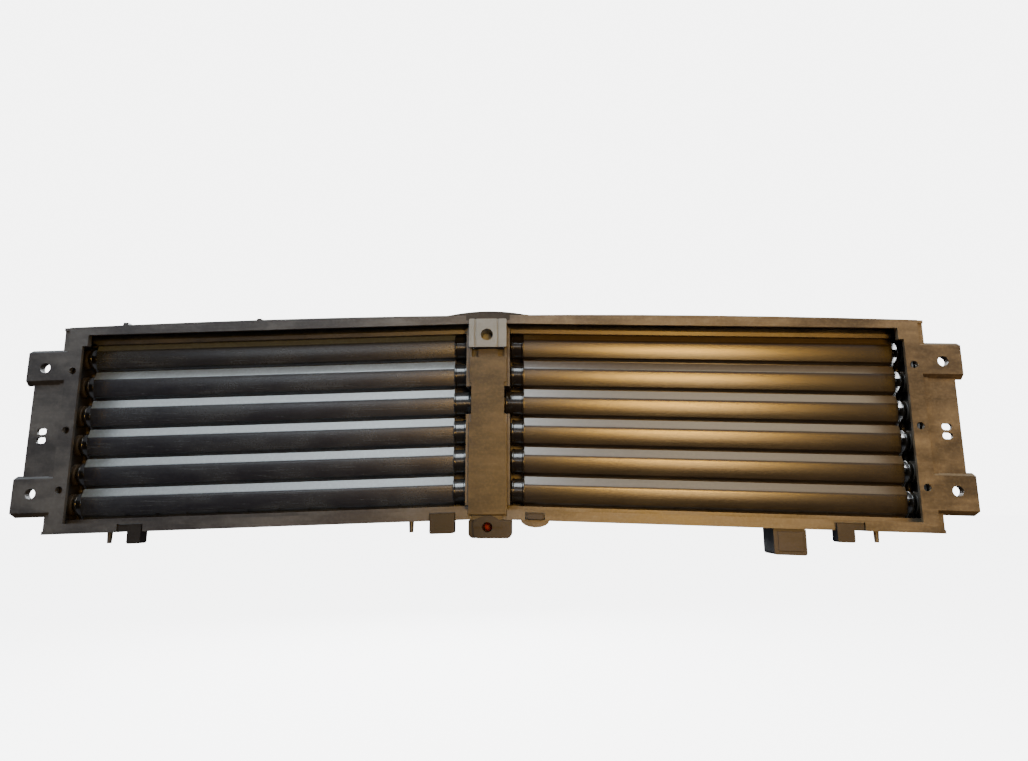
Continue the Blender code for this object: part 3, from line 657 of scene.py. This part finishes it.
def lights():
    """Cool light on the left bank, warm light on the right bank and a plain fill behind."""
    softbox("cool_overhead", place=(-0.60, -0.62, 1.05), target=(-0.20, 0, 0), size=(0.8, 0.7),
            power=13.0, colour=(0.82, 0.93, 1.0))
    softbox("cool_centre", place=(-0.15, -0.68, 0.98), target=(-0.02, 0, 0), size=(0.36, 0.70),
            power=7.0, colour=(0.84, 0.94, 1.0))
    softbox("cool_front", place=(-0.38, -1.35, 0.16), target=(-0.20, 0, 0.05), size=(0.70, 0.14),
            power=0.8, colour=(0.80, 0.90, 1.0))
    softbox("grey_overhead", place=(0.55, -0.60, 1.05), target=(0.20, 0, 0), size=(0.7, 0.6),
            power=5.5, colour=(1.0, 0.86, 0.62))
    softbox("warm_front", place=(0.33, -1.35, 0.05), target=(0.15, 0, 0.02), size=(0.36, 0.18),
            power=12.0, colour=(1.0, 0.53, 0.09))
    softbox("warm_low", place=(0.38, -1.35, -0.16), target=(0.20, 0, 0), size=(0.26, 0.20),
            power=2.4, colour=(1.0, 0.66, 0.30))
    softbox("warm_centre", place=(0.06, -1.35, 0.10), target=(0.05, 0, 0.02), size=(0.12, 0.16),
            power=0.5, colour=(1.0, 0.66, 0.28))
    softbox("rear_fill", place=(-0.30, 1.60, 0.70), target=(0, 0, 0), size=(1.2, 0.8),
            power=45.0, colour=(0.94, 0.97, 1.0))


# ---- mouldings that the frame carries ----
def sheared(shapes, side):
    """Shapes drawn square for the right bank, bent to the bank of this side."""
    for shape in shapes:
        shape.transform(bank_shear(side))
    return shapes


def across_y(outline, y0, y1):
    """An (x, z) outline carried along Y."""
    shape = extruded(outline, y0, y1)
    shape.transform(Matrix(((0, 1, 0, 0), (1, 0, 0, 0), (0, 0, 1, 0), (0, 0, 0, 1))))
    bmesh.ops.recalc_face_normals(shape, faces=shape.faces)
    return shape


def up_z(outline, z0, z1):
    """An (x, y) outline carried along Z."""
    shape = extruded(outline, z0, z1)
    shape.transform(Matrix(((0, 1, 0, 0), (0, 0, 1, 0), (1, 0, 0, 0), (0, 0, 0, 1))))
    bmesh.ops.recalc_face_normals(shape, faces=shape.faces)
    return shape


# Planes of the frame's rails, and the ribs, gussets and hoods on them
RAIL_BACK = AXIS_Y + 0.0255
TOP_PLATE = AXIS_Z[1] + 0.0232
BASE_PLATE = AXIS_Z[6] - 0.0228
RAIL_IN = 0.0240
RAIL_OUT = 0.3815
RIB_START = 0.0560
RIB_PITCH = 0.0275
RIB_COUNT = 12
RIB_HALF = 0.0006
GUSSET_HALF = 0.0008
GUSSET_LEVELS = (0.0127, -0.0333, -0.0853)
HOOD_IN = 0.3724
HOOD_OUT = 0.3772
HOOD_RADII = (0.0078, 0.0100)
HOOD_START = math.radians(108)
HOOD_SWEEP = math.radians(144)
HOOD_STEPS = 16


def rail_ribs(side):
    """Thin ribs across the backs of the top and bottom rails."""
    shapes = []
    back = RAIL_BACK - 0.0005
    for k in range(RIB_COUNT):
        x0 = RIB_START + RIB_PITCH * k - RIB_HALF
        x1 = RIB_START + RIB_PITCH * k + RIB_HALF
        shapes.append(box(x0, x1, AXIS_Y + 0.0050, back, TOP_PLATE - 0.0092, TOP_PLATE))
        shapes.append(box(x0, x1, AXIS_Y - 0.0062, back, BASE_PLATE, BASE_PLATE + 0.0052))
    return sheared(shapes, side)


def rear_beads(side):
    """A bead along the rear edge of both rails and down the end channel."""
    front = RAIL_BACK - 0.0010
    return sheared([
        box(RAIL_IN, RAIL_OUT, front, RAIL_BACK, TOP_PLATE - 0.0074, TOP_PLATE),
        box(RAIL_IN, RAIL_OUT, front, RAIL_BACK, BASE_PLATE, BASE_PLATE + 0.0054),
        box(0.3566, 0.3672, front - 0.0008, RAIL_BACK, BASE_PLATE + 0.0030, TOP_PLATE - 0.0020),
    ], side)


def flange_gussets(side):
    """Triangular webs between the end channel and the back of its bolt flange."""
    shapes = []
    front = AXIS_Y - 0.0237
    outline = [(0.3822, front), (0.4010, front), (0.3822, front + 0.0200)]
    for level in GUSSET_LEVELS:
        z = AXIS_Z[3] + level
        shapes.append(up_z(outline, z - GUSSET_HALF, z + GUSSET_HALF))
    return sheared(shapes, side)


def top_ledge(side):
    """The ledge under the top rail, in front of the upper louvre."""
    front = AXIS_Y - 0.0115
    back = AXIS_Y - 0.0050
    base = AXIS_Z[1] + 0.0115
    top = AXIS_Z[1] + 0.0152
    outline = [(front, top), (front + 0.0006, base), (back, base), (back, top)]
    return sheared([extruded(outline, 0.0200, 0.3640)], side)


def post_brow():
    """The dark lens-shaped brow on the rail above the bracket."""
    front = AXIS_Y - 0.0308
    reach = 0.0450
    rise = 0.0058
    upper = []
    for step in range(13):
        share = 1 - step / 6
        upper.append((reach * share, TOP_PLATE - 0.0018 + rise * (1 - share ** 2)))
    lower = [(-reach, TOP_PLATE - 0.0028), (-0.0180, TOP_PLATE - 0.0050), (0.0180, TOP_PLATE - 0.0050),
             (reach, TOP_PLATE - 0.0028)]
    return [across_y(upper + lower, front, front + 0.0050)]


def facing_front(shape, x, y, z):
    """Stands a shape that was turned about X at a place, pointing to the front."""
    shape.transform(Matrix.Translation((x, y, z)) @ Matrix.Rotation(-math.pi / 2, 4, "Z"))
    return shape


def foot_plug():
    """A dull red plug at the bottom of the lower foot's hole."""
    plug = turned([(0.0, 0), (0.0, 0.0038), (0.0022, 0.0038), (0.0034, 0.0030), (0.0041, 0.0016),
                   (0.0043, 0)], segments=28)
    return [facing_front(plug, 0.0004, AXIS_Y - 0.0112, AXIS_Z[1] - 0.1662)]


def foot_flange():
    """The flange between the locating foot and the bottom rail, and the raised panel on the foot."""
    top = AXIS_Z[1] - 0.1589
    face = AXIS_Y - 0.0275
    return sheared([box(0.2431, 0.2689, face + 0.0001, AXIS_Y - 0.0012, top - 0.0012, top),
                    box(0.2460, 0.2672, face - 0.0010, face, top - 0.0192, top - 0.0030)], 1)


def pin_heads(side):
    """The round heads of the crank pins' keepers, on the front edge of the link bar."""
    shapes = []
    for row in ROWS:
        head = turned([(-0.0004, 0), (-0.0004, 0.0016), (0.0006, 0.0016), (0.0012, 0.0010),
                       (0.0014, 0)], segments=20)
        shapes.append(facing_front(head, 0.3733, AXIS_Y + 0.0040, AXIS_Z[row] + CRANK[1]))
    return sheared(shapes, side)


def bearing_hoods(side):
    """The curved hoods in front of the journals in the end channel."""
    shapes = []
    for row in ROWS:
        inside, outside = (arc((AXIS_Y, AXIS_Z[row]), radius, HOOD_START, HOOD_SWEEP, HOOD_STEPS)
                           for radius in HOOD_RADII)
        shapes.append(extruded(outside + inside[::-1], HOOD_IN, HOOD_OUT))
    return sheared(shapes, side)


def detail(name, shapes, finish, slot, body="frame", edge=0.0002):
    """A shown piece with one material, which adds to the CAD model without replacing a node."""
    obj = piece(name, shapes, [finish], body, None, edge)


def moulded_details():
    """Every small moulding, first those of each bank and then those of the middle."""
    for hand, side in HANDS:
        detail(f"rail_ribs_{hand}", rail_ribs(side), FRAME_PLASTIC, "frame_plastic")
        detail(f"rear_beads_{hand}", rear_beads(side), FRAME_PLASTIC, "frame_plastic")
        detail(f"flange_gussets_{hand}", flange_gussets(side), FRAME_PLASTIC, "frame_plastic")
        detail(f"top_ledge_{hand}", top_ledge(side), FRAME_PLASTIC, "frame_plastic")
        detail(f"bearing_hoods_{hand}", bearing_hoods(side), ACETAL_DARK, "bearing_plastic", edge=0.0004)
        detail(f"pin_heads_{hand}", pin_heads(side), ACETAL_DARK, "link_plastic", f"link_bar_{hand}")
    detail("post_brow", post_brow(), BROW, "cover_plastic", edge=0.0004)
    detail("foot_flange", foot_flange(), FITTING, "cover_plastic", edge=0.0004)
    detail("foot_plug", foot_plug(), PLUG_RED, "cover_plastic", edge=0)


finish_cad_nodes()
for hand, side in HANDS:
    for row in ROWS:
        louvre(hand, side, row)
moulded_details()
camera()
stage()
world()
lights()
